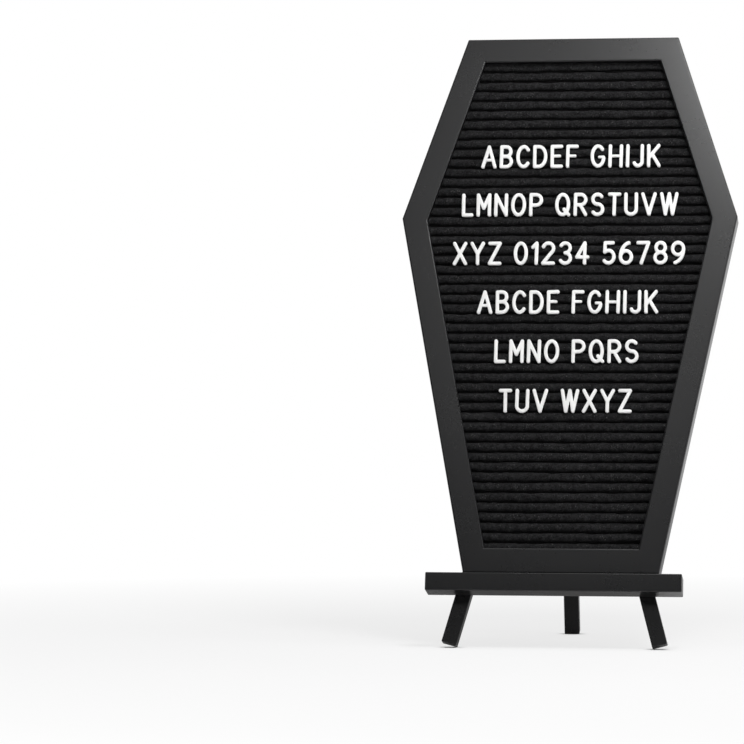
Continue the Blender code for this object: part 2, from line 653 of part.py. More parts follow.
def make_leaf(name, side, spans, surface, parent):
    """side is -1 for the front leaf. The frame's origin is on the pin's axis."""
    low_y, high_y = sorted((side * KNUCKLE_RADIUS, side * (KNUCKLE_RADIUS - LEAF_THICKNESS)))
    plate_top = -KNUCKLE_RADIUS - KNUCKLE_GAP
    barrel = circle(KNUCKLE_RADIUS, PIN_SIDES, 0.5)
    bm = bmesh.new()
    box(bm, (-HINGE_WIDTH / 2, low_y, -HINGE_HEIGHT), (HINGE_WIDTH / 2, high_y, plate_top))
    for start, end in spans:
        box(bm, (start, low_y, plate_top - LEAF_THICKNESS), (end, high_y, 0.0))
        prism(bm, barrel, start, end, along_x)
    leaf = place(name, mesh_from(name, bm), surface, parent)
    bm = bmesh.new()
    bore = (PIN_RADIUS + PIN_CLEARANCE) / math.cos(math.pi / PIN_SIDES)
    prism(bm, circle(bore, PIN_SIDES), -HINGE_WIDTH, HINGE_WIDTH, along_x)
    hole = cutter("bore_of_" + name, mesh_from("bore_of_" + name, bm), parent, (0, 0, 0), (0, 0, 0))
    boolean(leaf, hole, use_self=True)
    return leaf


def make_pin(surface, parent):
    head = HINGE_WIDTH / 2 + KNUCKLE_GAP
    end = head + PIN_HEAD_DEPTH
    profile = [(0, end), (PIN_HEAD_RADIUS * 0.7, end), (PIN_HEAD_RADIUS, (head + end) / 2),
               (PIN_HEAD_RADIUS, head), (PIN_RADIUS, head), (PIN_RADIUS, -head),
               (PIN_HEAD_RADIUS, -head), (PIN_HEAD_RADIUS, -(head + end) / 2),
               (PIN_HEAD_RADIUS * 0.7, -end), (0, -end)]
    bm = bmesh.new()
    turned(bm, profile, PIN_SIDES)
    return place("hinge_pin", mesh_from("hinge_pin", bm), surface, parent,
                 rotation=(0, math.pi / 2, 0))


def make_stand(paint, steel, slope):
    legs = [make_front_leg("front_leg_left", -1, paint, slope),
            make_front_leg("front_leg_right", 1, paint, slope)]
    ledge = make_ledge(paint, slope)
    height = LEDGE_LIFT + LEDGE_HEIGHT / 2
    x = LEG_SPREAD / 2 - LEDGE_HEIGHT / 2 * math.tan(SPLAY)
    for side, end, leg in ((-1, "left", legs[0]), (1, "right", legs[1])):
        fastener("ledge_screw_" + end, steel, slope, (side * x, LEG_BACK + SEAT_GAP, height),
                 -math.pi / 2, LEDGE_SCREW_RADIUS, LEDGE_SCREW_LENGTH, (leg, ledge))

    axis = empty("hinge_axis", slope, (0, PIN_Y, PIN_Z))
    pivot = empty("rear_leg_pivot", slope, (0, PIN_Y, PIN_Z), OPENING)
    left, middle, right = knuckle_spans()
    front_leaf = make_leaf("hinge_leaf_front", -1, (left, right), steel, axis)
    rear_leaf = make_leaf("hinge_leaf_rear", 1, (middle,), steel, pivot)
    make_pin(steel, axis)
    rear_leg = make_rear_leg(paint, pivot)

    plate_middle = -(HINGE_HEIGHT + KNUCKLE_RADIUS + KNUCKLE_GAP) / 2
    head_seat = KNUCKLE_RADIUS - LEAF_THICKNESS - SEAT_GAP
    for side, end, leg in ((-1, "left", legs[0]), (1, "right", legs[1])):
        fastener("front_leaf_screw_" + end, steel, axis,
                 (side * HINGE_SCREW_SPACING / 2, -head_seat, plate_middle),
                 -math.pi / 2, HINGE_SCREW_RADIUS, HINGE_SCREW_LENGTH, (front_leaf, leg))
    for side, end in ((1, "upper"), (-1, "lower")):
        fastener("rear_leaf_screw_" + end, steel, pivot,
                 (0, head_seat, plate_middle + side * HINGE_SCREW_SPACING / 2),
                 math.pi / 2, HINGE_SCREW_RADIUS, HINGE_SCREW_LENGTH, (rear_leaf, rear_leg))


def make_board(paint, felt, plastic, card, steel, slope):
    board = empty("board", slope, (STAND_OFFSET, 0, 0))
    rails = make_frame(paint, board)
    make_felt_panel(felt, board)
    make_backing(card, board)
    make_hanger(steel, board)
    nail_x = HANGER_LENGTH / 2 - HANGER_END / 2
    nail_z = BOARD_BASE + BOARD_HEIGHT - (RAIL_WIDTH - RABBET_WIDTH) / 2
    hanger = bpy.data.objects["sawtooth_hanger"]
    for side, end in ((-1, "left"), (1, "right")):
        fastener("hanger_nail_" + end, steel, board,
                 (side * nail_x, BOARD_BACK + 2 * SEAT_GAP + HANGER_THICKNESS, nail_z),
                 -math.pi / 2, NAIL_RADIUS, NAIL_LENGTH, (hanger, rails["top_rail"]))
    make_characters(plastic, board)


def stand_on_origin(root):
    """Moves the whole model so that its box stands on z = 0 with its middle over the origin."""
    bpy.context.view_layer.update()
    graph = bpy.context.evaluated_depsgraph_get()
    points = []
    for piece in bpy.data.objects:
        if piece.type == "MESH" and not piece.hide_render:
            evaluated = piece.evaluated_get(graph)
            points += [evaluated.matrix_world @ v.co for v in evaluated.data.vertices]
    low = [min(p[axis] for p in points) for axis in range(3)]
    high = [max(p[axis] for p in points) for axis in range(3)]
    root.location = (-(low[0] + high[0]) / 2, -(low[1] + high[1]) / 2, -low[2])


def main():
    clear_scene()
    paint = material("satin black paint", (0.018, 0.018, 0.02), 0.38)
    felt = material("black felt", (0.012, 0.012, 0.013), 0.95)
    plastic = material("white plastic", (0.88, 0.88, 0.86), 0.3)
    card = material("brown fibreboard", (0.2, 0.12, 0.065), 0.85)
    steel = material("plated steel", (0.56, 0.55, 0.52), 0.32, 1.0)
    root = empty("letter_board")
    slope = empty("slope", root, turn_x=-LEAN)
    make_stand(paint, steel, slope)
    make_board(paint, felt, plastic, card, steel, slope)
    stand_on_origin(root)


main()
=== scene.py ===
"""Looks of the felt letter board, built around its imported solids.

Metres, +Z up, in the model's own frame. Most pieces are shaped in the slope frame, which leans
back with the board: X to the right, Y backward through the board's thickness, Z up the slope.
Its Y = 0 plane is the front of the two front legs. SLOPE takes that frame to the model's frame,
and PIVOT takes the rear leg's own frame, with its origin on the hinge pin, to the model's frame.
"""
import json
import math

import bmesh
import bpy
import numpy as np
from mathutils import Matrix, Vector


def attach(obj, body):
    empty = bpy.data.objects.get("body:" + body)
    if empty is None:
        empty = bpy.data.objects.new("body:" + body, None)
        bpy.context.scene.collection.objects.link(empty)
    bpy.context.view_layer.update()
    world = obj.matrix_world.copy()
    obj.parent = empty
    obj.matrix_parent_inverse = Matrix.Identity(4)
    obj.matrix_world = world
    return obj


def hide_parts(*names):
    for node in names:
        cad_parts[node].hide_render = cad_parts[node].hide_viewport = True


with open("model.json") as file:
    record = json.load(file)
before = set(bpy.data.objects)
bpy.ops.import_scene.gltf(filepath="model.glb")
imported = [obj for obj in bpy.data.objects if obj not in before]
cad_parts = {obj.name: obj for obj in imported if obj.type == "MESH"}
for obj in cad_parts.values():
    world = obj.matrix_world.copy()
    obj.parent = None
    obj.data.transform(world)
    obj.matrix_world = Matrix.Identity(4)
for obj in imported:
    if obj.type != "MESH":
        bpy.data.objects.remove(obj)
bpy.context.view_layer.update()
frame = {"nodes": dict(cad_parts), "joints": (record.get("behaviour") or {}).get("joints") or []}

MM = 0.001
BODY = "board_and_stand"
LEG_BODY = "folding_leg"

# Frame of the board
BOARD_HEIGHT = 431.8 * MM
TOP_WIDTH = 166.5 * MM
WAIST_WIDTH = 262.5 * MM
BOTTOM_WIDTH = 150.0 * MM
WAIST_HEIGHT = 283.5 * MM
BOARD_DEPTH = 18.0 * MM
RAIL_WIDTH = 19.4 * MM
RAIL_ROUND = 1.2 * MM
BACK_ROUND = 0.6 * MM
LIP_DEPTH = 5.0 * MM
RABBET_WIDTH = 6.0 * MM
OUTER_CORNER_ROUND = 0.9 * MM
INNER_CORNER_ROUND = 0.3 * MM
ARRIS_STEPS = 5
CORNER_STEPS = 3

# Felt insert
PANEL_DEPTH = 6.0 * MM
GROOVE_PITCH = 7.9375 * MM
GROOVE_DEPTH = 3.2 * MM
GROOVE_MARGIN = 5.0 * MM
FELT_COLUMNS = 124
# Attribute with each felt point's depth in its groove, 0 at the crown and 1 at the floor; it drives
# the painted shade in the grooves
GROOVE_SHADE_ATTRIBUTE = "painted_groove_shade"

# Characters
LETTER_HEIGHT = 19.05 * MM
LETTER_STROKE = 2.7 * MM
THIN_STROKE = 2.1 * MM
LETTER_DEPTH = 2.0 * MM
LETTER_ROUND = 0.6 * MM
LETTER_BACK_ROUND = 0.15 * MM
LETTER_GAP = 2.4 * MM
WORD_GAP = 9.5 * MM
TAB_WIDTH = 2.4 * MM
TAB_THICKNESS = 0.8 * MM
TAB_REACH = 2.4 * MM
TEXT_ROWS = ("ABCDEF GHIJK", "LMNOP QRSTUVW", "XYZ 01234 56789",
             "ABCDE FGHIJK", "LMNO PQRS", "TUV WXYZ")
ROWS_IN_PARTS = 3
GROOVES_ABOVE_TEXT = 9
GROOVES_PER_ROW = 5
LETTER_TILT = math.radians(0.8)

# Stand
LEAN = math.radians(15.0)
SPLAY = math.radians(15.0)
OPENING = math.radians(30.0)
LEG_WIDTH = 12.0 * MM
LEG_DEPTH = 9.5 * MM
LEG_SPREAD = 141.5 * MM
STAND_HEIGHT = 302.0 * MM
STAND_ROUND = 0.8 * MM
LEDGE_LENGTH = 196.0 * MM
LEDGE_HEIGHT = 14.0 * MM
LEDGE_DEPTH = 20.5 * MM
LEDGE_LIFT = 41.0 * MM
STAND_OFFSET = 5.5 * MM
HINGE_DROP = 16.0 * MM
KNUCKLE_RADIUS = 2.0 * MM
SEAT_GAP = 0.3 * MM

# Worked out from the above
BOARD_BASE = LEDGE_LIFT + LEDGE_HEIGHT + SEAT_GAP
BOARD_BACK = -SEAT_GAP
BOARD_FRONT = BOARD_BACK - BOARD_DEPTH
FELT_FRONT = BOARD_FRONT + LIP_DEPTH + SEAT_GAP
PIN = Vector((0.0, LEG_DEPTH + SEAT_GAP + KNUCKLE_RADIUS, STAND_HEIGHT - HINGE_DROP))
REAR_LEAN = OPENING - LEAN

HINGE = next(joint for joint in frame["joints"] if joint["name"] == "rear_leg_fold")
LEAN_BACK = Matrix.Rotation(-LEAN, 4, "X")
SLOPE = Matrix.Translation(Vector(HINGE["pos_m"]) - LEAN_BACK @ PIN) @ LEAN_BACK
BOARD = SLOPE @ Matrix.Translation((STAND_OFFSET, 0, 0))
PIVOT = SLOPE @ Matrix.Translation(PIN) @ Matrix.Rotation(OPENING, 4, "X")

SMOOTH_ANGLE = math.radians(32.0)


class Surface:
    """A Principled material, with short calls that add nodes and join them."""

    def __init__(self, name, **sockets):
        self.material = bpy.data.materials.new(name)
        self.material.use_nodes = True
        self.tree = self.material.node_tree
        self.shader = self.tree.nodes["Principled BSDF"]
        for socket, value in sockets.items():
            self.put(self.shader.inputs[socket.replace("_", " ")], value)
        self.coordinates = self.node("ShaderNodeTexCoord").outputs["Object"]

    def node(self, kind, **settings):
        made = self.tree.nodes.new(kind)
        for setting, value in settings.items():
            setattr(made, setting, value)
        return made

    def put(self, socket, value):
        """Joins an output to the socket, or sets the socket's own value."""
        if isinstance(value, bpy.types.NodeSocket):
            self.tree.links.new(value, socket)
        else:
            socket.default_value = value

    def stretched(self, x, y, z):
        made = self.node("ShaderNodeMapping")
        self.put(made.inputs["Vector"], self.coordinates)
        made.inputs["Scale"].default_value = (x, y, z)
        return made.outputs["Vector"]

    def noise(self, size, detail=3.0, roughness=0.5, along=None):
        """Noise whose blotches are about size across."""
        made = self.node("ShaderNodeTexNoise")
        self.put(made.inputs["Vector"], along or self.coordinates)
        made.inputs["Scale"].default_value = 1 / size
        made.inputs["Detail"].default_value = detail
        made.inputs["Roughness"].default_value = roughness
        return made.outputs["Fac"]

    def cells(self, size, output, along=None):
        made = self.node("ShaderNodeTexVoronoi")
        self.put(made.inputs["Vector"], along or self.coordinates)
        made.inputs["Scale"].default_value = 1 / size
        return made.outputs[output]

    def spread(self, value, low, high, to_low=0.0, to_high=1.0):
        """Maps low..high to to_low..to_high, and holds it there beyond them."""
        made = self.node("ShaderNodeMapRange")
        for socket, amount in zip(made.inputs, (value, low, high, to_low, to_high)):
            self.put(socket, amount)
        return made.outputs["Result"]

    def calculate(self, operation, first, second):
        made = self.node("ShaderNodeMath", operation=operation)
        self.put(made.inputs[0], first)
        self.put(made.inputs[1], second)
        return made.outputs[0]

    def tones(self, value, *stops):
        """A colour ramp through (position, colour) stops."""
        made = self.node("ShaderNodeValToRGB")
        self.put(made.inputs["Fac"], value)
        elements = made.color_ramp.elements
        while len(elements) < len(stops):
            elements.new(0.5)
        for element, (position, color) in zip(elements, stops):
            element.position = position
            element.color = (*color, 1.0)
        return made.outputs["Color"]

    def mixed(self, share, first, second):
        made = self.node("ShaderNodeMix", data_type="RGBA")
        self.put(made.inputs["Factor"], share)
        for name, color in (("A", first), ("B", second)):
            socket = next(s for s in made.inputs if s.name == name and s.type == "RGBA")
            value = color if isinstance(color, bpy.types.NodeSocket) else (*color, 1.0)
            self.put(socket, value)
        return next(s for s in made.outputs if s.type == "RGBA")

    def bumps(self, *layers):
        """Adds bump layers (height, strength, distance) on top of each other."""
        normal = None
        for height, strength, distance in layers:
            made = self.node("ShaderNodeBump")
            made.inputs["Strength"].default_value = strength
            made.inputs["Distance"].default_value = distance
            self.put(made.inputs["Height"], height)
            if normal:
                self.put(made.inputs["Normal"], normal)
            normal = made.outputs["Normal"]
        self.put(self.shader.inputs["Normal"], normal)

    def color(self, value):
        self.put(self.shader.inputs["Base Color"], value)

    def roughness(self, value):
        self.put(self.shader.inputs["Roughness"], value)


def make_paint():
    """Satin black paint on smooth wood: faint clouds and a fine sprayed texture."""
    paint = Surface("satin_black_paint")
    clouds = paint.noise(40 * MM, 4)
    paint.color(paint.tones(clouds, (0.3, (0.0042, 0.0042, 0.0048)),
                            (0.7, (0.0056, 0.0056, 0.0062))))
    grain = paint.noise(2.4 * MM, 3)
    spray = paint.noise(0.5 * MM, 2)
    paint.roughness(paint.spread(paint.calculate("ADD", clouds, grain), 0.6, 1.4, 0.26, 0.31))
    paint.bumps((grain, 0.03, 0.2 * MM), (spray, 0.04, 0.03 * MM))
    return paint.material


def make_felt():
    """Black felt: mottled nap, patches of pale lint, and painted shade that darkens the cloth
    towards the bottom of each groove.
    """
    felt = Surface("black_felt", Sheen_Weight=0.05, Sheen_Roughness=0.5,
                   Sheen_Tint=(0.5, 0.5, 0.52, 1.0), Specular_IOR_Level=0.1)
    through = felt.stretched(1, 0, 1)
    nap = felt.noise(3.2 * MM, 5, 0.7)
    fibres = felt.noise(0.8 * MM, 3, 0.7, felt.stretched(0.6, 1, 1))
    cloth = felt.tones(felt.calculate("MULTIPLY", nap, fibres), (0.14, (0.0036, 0.0036, 0.004)),
                       (0.38, (0.0295, 0.0295, 0.0305)))
    centre = felt.spread(felt.cells(1.3 * MM, "Distance", through), 0.16, 0.42, 1.0, 0.0)
    chosen = felt.spread(felt.cells(1.3 * MM, "Color", through), 0.6, 0.8)
    patches = felt.spread(felt.noise(7 * MM, 3, 0.6, through), 0.42, 0.6, 0.0, 0.7)
    specks = felt.calculate("MULTIPLY", felt.calculate("MULTIPLY", centre, chosen), patches)
    linted = felt.mixed(specks, cloth, (0.09, 0.09, 0.088))
    # Painted shade in the grooves: the felt's colour goes nearly black towards each groove's floor
    groove = felt.node("ShaderNodeAttribute", attribute_name=GROOVE_SHADE_ATTRIBUTE).outputs["Fac"]
    felt.color(felt.mixed(felt.spread(groove, 0.2, 0.8, 0.0, 0.85), linted, (0.001, 0.001, 0.001)))
    felt.roughness(felt.spread(fibres, 0.3, 0.7, 0.9, 1.0))
    felt.bumps((nap, 0.9, 0.8 * MM), (fibres, 0.9, 0.35 * MM))
    return felt.material


def make_plastic():
    """White moulded plastic, slightly glossy."""
    plastic = Surface("white_plastic", Specular_IOR_Level=0.5)
    clouds = plastic.noise(9 * MM, 2)
    plastic.color(plastic.tones(clouds, (0.3, (0.9, 0.9, 0.89)), (0.7, (0.94, 0.94, 0.93))))
    grain = plastic.noise(0.35 * MM, 2)
    plastic.roughness(plastic.spread(clouds, 0.3, 0.7, 0.28, 0.36))
    plastic.bumps((grain, 0.05, 0.05 * MM))
    return plastic.material


def make_fibreboard():
    """Brown hardboard: pressed flecks of two lengths over a cloudy ground."""
    board = Surface("brown_fibreboard", Specular_IOR_Level=0.25)
    clouds = board.noise(22 * MM, 4)
    flecks = board.noise(1.6 * MM, 4, 0.7, board.stretched(0.55, 1, 1))
    dust = board.noise(0.4 * MM, 2)
    base = board.tones(flecks, (0.3, (0.115, 0.066, 0.035)), (0.5, (0.2, 0.125, 0.07)),
                       (0.72, (0.31, 0.21, 0.125)))
    board.color(board.mixed(board.spread(clouds, 0.35, 0.7, 0.0, 0.3), base, (0.13, 0.08, 0.045)))
    board.roughness(board.spread(flecks, 0.3, 0.7, 0.72, 0.9))
    board.bumps((flecks, 0.35, 0.15 * MM), (dust, 0.3, 0.06 * MM))
    return board.material


def make_steel():
    """Zinc-plated steel: fine rolling lines, clouded plating."""
    steel = Surface("plated_steel", Metallic=1.0)
    clouds = steel.noise(5 * MM, 3)
    lines = steel.noise(0.5 * MM, 3, 0.6, steel.stretched(0.06, 1, 1))
    steel.color(steel.tones(clouds, (0.3, (0.5, 0.495, 0.47)), (0.7, (0.62, 0.61, 0.585))))
    steel.roughness(steel.spread(steel.calculate("ADD", clouds, lines), 0.6, 1.4, 0.26, 0.42))
    steel.bumps((lines, 0.12, 0.05 * MM), (clouds, 0.1, 0.1 * MM))
    return steel.material


def finish_piece(name, mesh, surface, body, to_model, nodes=(), smooth=SMOOTH_ANGLE):
    """Makes a piece from a mesh in its own frame, and ties it to its body and CAD nodes."""
    mesh.transform(to_model)
    mesh.shade_smooth()
    mesh.set_sharp_from_angle(angle=smooth)
    piece = bpy.data.objects.new(name, mesh)
    bpy.context.scene.collection.objects.link(piece)
    mesh.materials.clear()
    mesh.materials.append(surface)
    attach(piece, body)
    if nodes:
        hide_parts(*nodes)
    return piece


def even_shading(piece):
    """Large flat faces stay flat beside their rounded arrises."""
    change = piece.modifiers.new("even shading", "WEIGHTED_NORMAL")
    change.keep_sharp = True


def mesh_from(name, bm):
    bmesh.ops.recalc_face_normals(bm, faces=bm.faces)
    mesh = bpy.data.meshes.new(name)
    bm.to_mesh(mesh)
    bm.free()
    return mesh


def coffin(inset=0.0):
    """The board's six corners (x, z), clockwise from the top left, moved in by inset."""
    half_top, half_waist, half_bottom = TOP_WIDTH / 2, WAIST_WIDTH / 2, BOTTOM_WIDTH / 2
    corners = [Vector(c) for c in (
        (-half_top, BOARD_HEIGHT), (half_top, BOARD_HEIGHT), (half_waist, WAIST_HEIGHT),
        (half_bottom, 0.0), (-half_bottom, 0.0), (-half_waist, WAIST_HEIGHT))]
    moved = []
    for i, corner in enumerate(corners):
        out_before, out_after = outward_sides(corners, i)
        middle = out_before + out_after
        moved.append(corner - middle * (inset / middle.dot(out_before)))
    return [Vector((c.x, c.y + BOARD_BASE)) for c in moved]


def outward_sides(corners, i):
    """Outward directions of the sides before and after a corner of a clockwise outline."""
    before = (corners[i] - corners[i - 1]).normalized()
    after = (corners[(i + 1) % len(corners)] - corners[i]).normalized()
    return Vector((-before.y, before.x)), Vector((-after.y, after.x))


def rounded_coffin(inset, radius):
    """The coffin outline with its six corners rounded."""
    corners = coffin(inset)
    points = []
    for i, corner in enumerate(corners):
        out_before, out_after = outward_sides(corners, i)
        middle = out_before + out_after
        centre = corner - middle * (radius / middle.dot(out_before))
        first = math.atan2(out_before.y, out_before.x)
        turn = out_before.angle(out_after)
        for step in range(CORNER_STEPS + 1):
            angle = first - turn * step / CORNER_STEPS
            points.append(centre + Vector((math.cos(angle), math.sin(angle))) * radius)
    return points


def frame_section():
    """Section of the frame: (distance in from the board's edge, depth behind the front face)."""
    inner, back, r, b = RAIL_WIDTH, BOARD_DEPTH, RAIL_ROUND, BACK_ROUND
    angles = [math.pi / 2 * step / ARRIS_STEPS for step in range(ARRIS_STEPS + 1)]
    points = [(r - r * math.cos(a), r - r * math.sin(a)) for a in angles]
    points += [(inner - r + r * math.sin(a), r - r * math.cos(a)) for a in angles]
    points += [(inner, LIP_DEPTH), (inner - RABBET_WIDTH, LIP_DEPTH)]
    points += [(inner - RABBET_WIDTH, back)]
    points += [(b - b * math.sin(a), back - b + b * math.cos(a)) for a in angles]
    return points


def make_board_frame(paint):
    """One painted ring: under the paint the mitres of the six rails don't show."""
    bm = bmesh.new()
    loops = []
    for inset, depth in frame_section():
        share = min(inset / RAIL_WIDTH, 1.0)
        radius = OUTER_CORNER_ROUND + share * (INNER_CORNER_ROUND - OUTER_CORNER_ROUND)
        loops.append([bm.verts.new((p.x, BOARD_FRONT + depth, p.y))
                      for p in rounded_coffin(inset, radius)])
    for near, far in zip(loops, loops[1:] + loops[:1]):
        for i in range(len(near)):
            j = (i + 1) % len(near)
            bm.faces.new((near[i], near[j], far[j], far[i]))
    rails = [name for name in frame["nodes"] if name.endswith("_rail")]
    piece = finish_piece("board_frame", mesh_from("board_frame", bm), paint, BODY,
                         BOARD, rails)
    even_shading(piece)


def panel_corners():
    return coffin(RAIL_WIDTH - RABBET_WIDTH + SEAT_GAP)


def panel_half_width(z):
    top, waist, bottom = (panel_corners()[i] for i in (1, 2, 3))
    upper, lower = (top, waist) if z > waist.y else (waist, bottom)
    return lower.x + (upper.x - lower.x) * (z - lower.y) / (upper.y - lower.y)


def groove_heights():
    """Middles of the grooves, from the top down, evenly spread in the frame's opening."""
    opening = coffin(RAIL_WIDTH)
    top, bottom = opening[0].y, opening[3].y
    count = int((top - bottom - 2 * GROOVE_MARGIN) / GROOVE_PITCH) + 1
    first = (top + bottom) / 2 + (count - 1) * GROOVE_PITCH / 2
    return [first - i * GROOVE_PITCH for i in range(count)]


def smooth_noise(u, v, seed):
    """Noise from -1 to 1 over arrays u and v, with one blotch to each unit."""
    u, v = u - u.min(), v - v.min()
    grid = np.random.default_rng(seed).uniform(-1, 1, (int(u.max()) + 2, int(v.max()) + 2))
    column, row = u.astype(int), v.astype(int)
    across, down = u - column, v - row
    across, down = across * across * (3 - 2 * across), down * down * (3 - 2 * down)
    upper = grid[column, row] * (1 - across) + grid[column + 1, row] * across
    lower = grid[column, row + 1] * (1 - across) + grid[column + 1, row + 1] * across
    return upper * (1 - down) + lower * down


# Noise of the felt, in layers: (blotch across, blotch down, seed, size)
WANDER = [(11 * MM, 6 * MM, 1, 0.36 * MM), (4.3 * MM, 6 * MM, 5, 0.2 * MM)]
PINCH = [(4.0 * MM, 4 * MM, 2, 0.45)]
NAP = [(5 * MM, 3.4 * MM, 3, 0.12 * MM), (2.1 * MM, 1.6 * MM, 4, 0.09 * MM)]
NAP_RISE = 0.1 * MM
NAP_LOST_IN_GROOVE = 0.6
GROOVE_REACH = 1.6 * MM
GROOVE_FADE = 1.5
FELT_SMOOTH_ANGLE = math.radians(70)

# Half a groove's section: (distance from its middle, depth behind the crown of the ribs)
GROOVE_SECTION = [(0.7 * MM, GROOVE_DEPTH), (0.85 * MM, 2.45 * MM), (1.05 * MM, 1.8 * MM),
                  (1.35 * MM, 1.32 * MM), (1.75 * MM, 0.92 * MM), (2.25 * MM, 0.55 * MM),
                  (3.0 * MM, 0.18 * MM), (3.75 * MM, 0.0)]


def layered_noise(x, z, layers):
    return sum(smooth_noise(x / across, z / down, seed) * size
               for across, down, seed, size in layers)


def felt_rows():
    """(height, depth, distance from the nearest groove's middle) of each row of points."""
    top, bottom = panel_corners()[0].y, panel_corners()[3].y
    rows = [(top, 0.0, GROOVE_PITCH)]
    for middle in groove_heights():
        rows += [(middle + z, depth, z) for z, depth in reversed(GROOVE_SECTION)]
        rows += [(middle - z, depth, -z) for z, depth in GROOVE_SECTION]
    rows.append((bottom, 0.0, GROOVE_PITCH))
    return rows


def make_felt_insert(felt):
    """Ribs and grooves of the felt-covered insert, with the uneven nap of the cloth."""
    rows = np.array(felt_rows())
    share = np.linspace(-1, 1, FELT_COLUMNS + 1)
    half_widths = np.array([panel_half_width(z) for z in rows[:, 0]])
    x = half_widths[:, None] * share[None, :]
    z = np.repeat(rows[:, :1], len(share), axis=1)
    depth = np.repeat(rows[:, 1:2], len(share), axis=1)
    offset = np.repeat(rows[:, 2:3], len(share), axis=1)
    near_groove = np.clip(GROOVE_FADE - np.abs(offset) / GROOVE_REACH, 0, 1)
    wander, pinch, nap = (layered_noise(x, z, layers) for layers in (WANDER, PINCH, NAP))
    inside = np.ones_like(x)
    inside[[0, -1], :] = 0
    z = z + inside * near_groove * (wander + offset * pinch)
    y = FELT_FRONT + depth + inside * (1 - NAP_LOST_IN_GROOVE * near_groove) * (nap + NAP_RISE)
    bm = bmesh.new()
    # Each point's depth in its groove, kept for the painted shade in the grooves
    groove_shade_layer = bm.verts.layers.float.new(GROOVE_SHADE_ATTRIBUTE)
    front = [[bm.verts.new(point) for point in zip(*line)] for line in zip(x, y, z)]
    for row, row_depth in zip(front, rows[:, 1]):
        for vertex in row:
            vertex[groove_shade_layer] = row_depth / GROOVE_DEPTH
    back_y = FELT_FRONT + PANEL_DEPTH
    back = [(bm.verts.new((-half, back_y, height)), bm.verts.new((half, back_y, height)))
            for half, height in zip(half_widths, rows[:, 0])]
    for (above, back_above), (below, back_below) in zip(zip(front, back), zip(front[1:], back[1:])):
        for i in range(FELT_COLUMNS):
            bm.faces.new((above[i], above[i + 1], below[i + 1], below[i]))
        bm.faces.new((above[0], below[0], back_below[0], back_above[0]))
        bm.faces.new((above[-1], below[-1], back_below[1], back_above[1]))
        bm.faces.new((back_above[0], back_above[1], back_below[1], back_below[0]))
    for end in (0, -1):
        bm.faces.new(front[end] + [back[end][1], back[end][0]])
    finish_piece("felt_insert", mesh_from("felt_insert", bm), felt, BODY, BOARD,
                 ["felt_panel"], FELT_SMOOTH_ANGLE)


ARC_STEP = math.radians(12.0)
CAP_STEPS = 10
STROKE_ARRIS_STEPS = 4


def line(x0, z0, x1, z1):
    return [(x0, z0), (x1, z1)]


def arc(cx, cz, rx, rz, start, end):
    """Points of an elliptic arc between two angles in degrees."""
    first, last = math.radians(start), math.radians(end)
    steps = max(2, round(abs(last - first) / ARC_STEP))
    angles = [first + (last - first) * i / steps for i in range(steps + 1)]
    return [(cx + rx * math.cos(a), cz + rz * math.sin(a)) for a in angles]


def ring(cx, cz, rx, rz):
    """A closed stroke: its last point is its first."""
    return arc(cx, cz, rx, rz, 0, 360)


